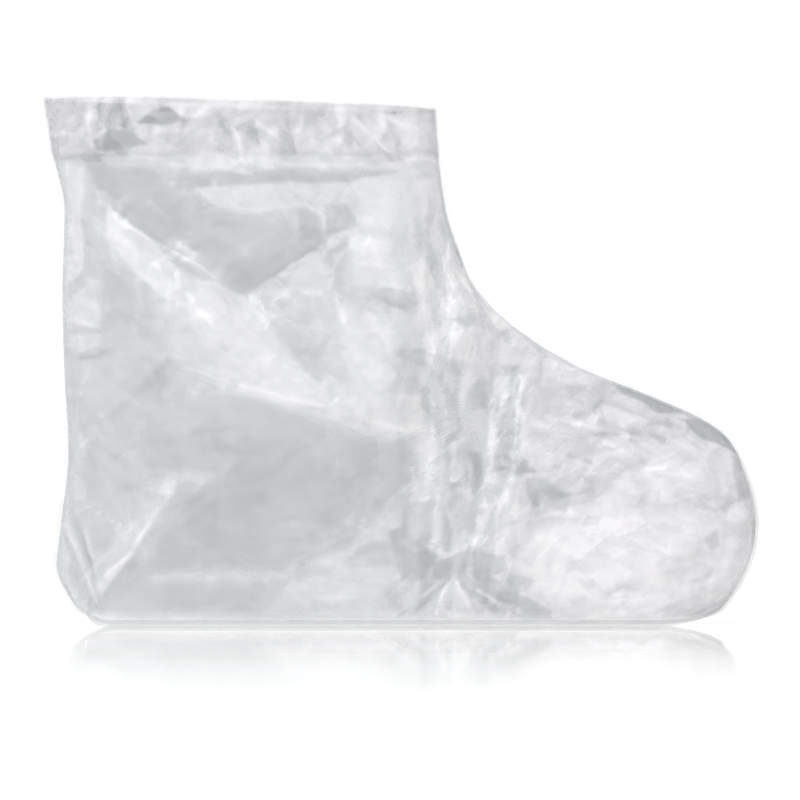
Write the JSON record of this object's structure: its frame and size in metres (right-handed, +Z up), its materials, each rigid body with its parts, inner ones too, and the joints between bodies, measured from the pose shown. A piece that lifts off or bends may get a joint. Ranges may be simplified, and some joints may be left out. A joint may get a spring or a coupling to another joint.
{
  "type": "disposable pedicure bootie",
  "caption": "Thin clear film bootie with a heat-welded edge, a turned-over band round the open top and a flattened sole, standing open.",
  "frame": {"origin": "on the floor, under the middle of the bootie's bounding box", "axes": "+X towards the toe, +Y towards the wearer's left, +Z up out of the opening"},
  "size_m": [0.3814, 0.0908, 0.2812],
  "materials": {
    "film": "clear, slightly frosted polyethylene film with soft gloss and many creases",
    "hem_film": "two layers of the same film, so milkier than the rest",
    "welded_edge": "melted film edge, whitish and a little rougher"
  },
  "bodies": {
    "root": {"right_side_panel": "film", "left_side_panel": "film", "edge_weld": "welded_edge", "right_hem": "hem_film", "left_hem": "hem_film"}
  },
  "joints": []
}
